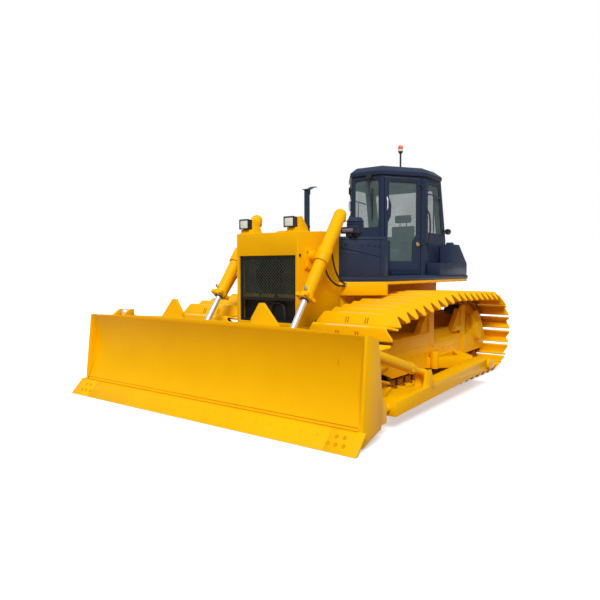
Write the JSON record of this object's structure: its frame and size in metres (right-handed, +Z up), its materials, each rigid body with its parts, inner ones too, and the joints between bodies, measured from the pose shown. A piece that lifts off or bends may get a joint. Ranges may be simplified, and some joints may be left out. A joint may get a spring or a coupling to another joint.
{
  "type": "crawler bulldozer with wide swamp tracks",
  "caption": "Crawler dozer with swamp tracks, a straight blade on push arms that lifts and tilts, lift cylinders beside the hood and a six-sided glazed cab with doors.",
  "frame": {"origin": "centre of the bounding box's footprint, on the ground between the tracks", "axes": "+X to the machine's left, -Y towards the blade, +Z up"},
  "size_m": [4.15, 5.262, 3.449],
  "materials": {
    "yellow_paint": "glossy machine enamel",
    "dark_paint": "dark slate blue enamel, satin",
    "track_paint": "painted cast shoes and links",
    "cast_iron": "dark oily castings",
    "chrome": "polished hard chrome",
    "radiator": "matt black finned core",
    "grille": "dark expanded mesh",
    "cab_glass": "tinted safety glass",
    "black_plastic": "moulded black plastic",
    "seat_fabric": "grey woven seat cover",
    "amber": "amber lens"
  },
  "bodies": {
    "chassis": {"track_left": "track_paint", "track_right": "track_paint", "sprockets": "yellow_paint", "idlers": "cast_iron", "track_rollers": "cast_iron", "carrier_rollers": "cast_iron", "track_frame_left": "yellow_paint", "track_frame_right": "yellow_paint", "main_frame": "yellow_paint", "belly_guard": "yellow_paint", "transmission_case": "yellow_paint", "drawbar": "yellow_paint", "engine_block": "cast_iron", "hood": "yellow_paint", "grille": "grille", "radiator_core": "radiator", "exhaust": "dark_paint", "head_lamps": "black_plastic", "cowl": "dark_paint", "air_intake": "black_plastic", "deck": "dark_paint", "fenders": "yellow_paint", "fuel_tank": "dark_paint", "cab_shell": "dark_paint", "cab_glass": "cab_glass", "cab_roof": "dark_paint", "seat": "seat_fabric", "console": "black_plastic", "beacon": "amber", "lift_brackets": "yellow_paint"},
    "arm_left": {"push_arm_left": "yellow_paint"},
    "arm_right": {"push_arm_right": "yellow_paint"},
    "blade": {"blade": "yellow_paint", "cutting_edge": "yellow_paint", "end_bits": "yellow_paint"},
    "brace": {"brace": "yellow_paint"},
    "tilt_barrel": {"tilt_barrel": "yellow_paint"},
    "tilt_rod": {"tilt_rod": "chrome"},
    "lift_barrel_left": {"lift_barrel_left": "yellow_paint"},
    "lift_rod_left": {"lift_rod_left": "chrome"},
    "lift_barrel_right": {"lift_barrel_right": "yellow_paint"},
    "lift_rod_right": {"lift_rod_right": "chrome"},
    "door_left": {"door_left": "dark_paint", "door_glass_left": "cab_glass"},
    "door_right": {"door_right": "dark_paint", "door_glass_right": "cab_glass"}
  },
  "joints": [
    {"name": "blade_lift", "type": "hinge", "parent": "chassis", "child": "arm_left", "pos_m": [1.865, 0.754, 0.3], "axis": [-1, 0, 0], "range_deg": [-9, 19]},
    {"name": "blade_tilt", "type": "hinge", "parent": "arm_left", "child": "blade", "pos_m": [1.865, -1.95, 0.21], "axis": [0, 1, 0], "range_deg": [-3, 3]},
    {"name": "arm_right_swing", "type": "hinge", "parent": "arm_left", "child": "arm_right", "pos_m": [-1.865, 0.754, 0.3], "axis": [-1, 0, 0], "range_deg": [-4.2, 4.2]},
    {"name": "brace_swing", "type": "hinge", "parent": "arm_left", "child": "brace", "pos_m": [1.89, -1, 0.435], "axis": [-0.2869, 0.3744, 0.8818], "range_deg": [-1.65, 1.65]},
    {"name": "tilt_barrel_swing", "type": "hinge", "parent": "arm_right", "child": "tilt_barrel", "pos_m": [-1.89, -1, 0.435], "axis": [0.7735, 0.3977, 0.4935], "range_deg": [-2.5, 2.5]},
    {"name": "tilt_rod_slide", "type": "slide", "parent": "tilt_barrel", "child": "tilt_rod", "axis": [0.18, -0.8845, 0.4305], "range_m": [-0.042, 0.042]},
    {"name": "lift_swing_left", "type": "hinge", "parent": "chassis", "child": "lift_barrel_left", "pos_m": [0.672, -1.13, 1.682], "axis": [-1, 0, 0], "range_deg": [-10.9, 22.9]},
    {"name": "lift_slide_left", "type": "slide", "parent": "lift_barrel_left", "child": "lift_rod_left", "axis": [0, -0.5768, -0.8169], "range_m": [-0.7535, 0.3575]},
    {"name": "lift_swing_right", "type": "hinge", "parent": "chassis", "child": "lift_barrel_right", "pos_m": [-0.672, -1.13, 1.682], "axis": [-1, 0, 0], "range_deg": [-10.9, 22.9]},
    {"name": "lift_slide_right", "type": "slide", "parent": "lift_barrel_right", "child": "lift_rod_right", "axis": [0, -0.5768, -0.8169], "range_m": [-0.7535, 0.3575]},
    {"name": "door_left", "type": "hinge", "parent": "chassis", "child": "door_left", "pos_m": [0.65299, 1.45637, 2], "axis": [0, 0, 1], "range_deg": [0, 90]},
    {"name": "door_right", "type": "hinge", "parent": "chassis", "child": "door_right", "pos_m": [-0.65299, 1.45637, 2], "axis": [0, 0, -1], "range_deg": [0, 90]}
  ],
  "couplings": [
    {"joint": "arm_right_swing", "follows": "blade_tilt", "ratio": 1.3794},
    {"joint": "brace_swing", "follows": "blade_tilt", "ratio": 0.54047},
    {"joint": "tilt_barrel_swing", "follows": "blade_tilt", "ratio": 0.81732},
    {"joint": "tilt_rod_slide", "follows": "blade_tilt", "m_per_rad": 0.78012},
    {"joint": "lift_swing_left", "follows": "blade_lift", "ratio": 1.2},
    {"joint": "lift_slide_left", "follows": "blade_lift", "m_per_rad": -2.27},
    {"joint": "lift_swing_right", "follows": "blade_lift", "ratio": 1.2},
    {"joint": "lift_slide_right", "follows": "blade_lift", "m_per_rad": -2.27}
  ]
}
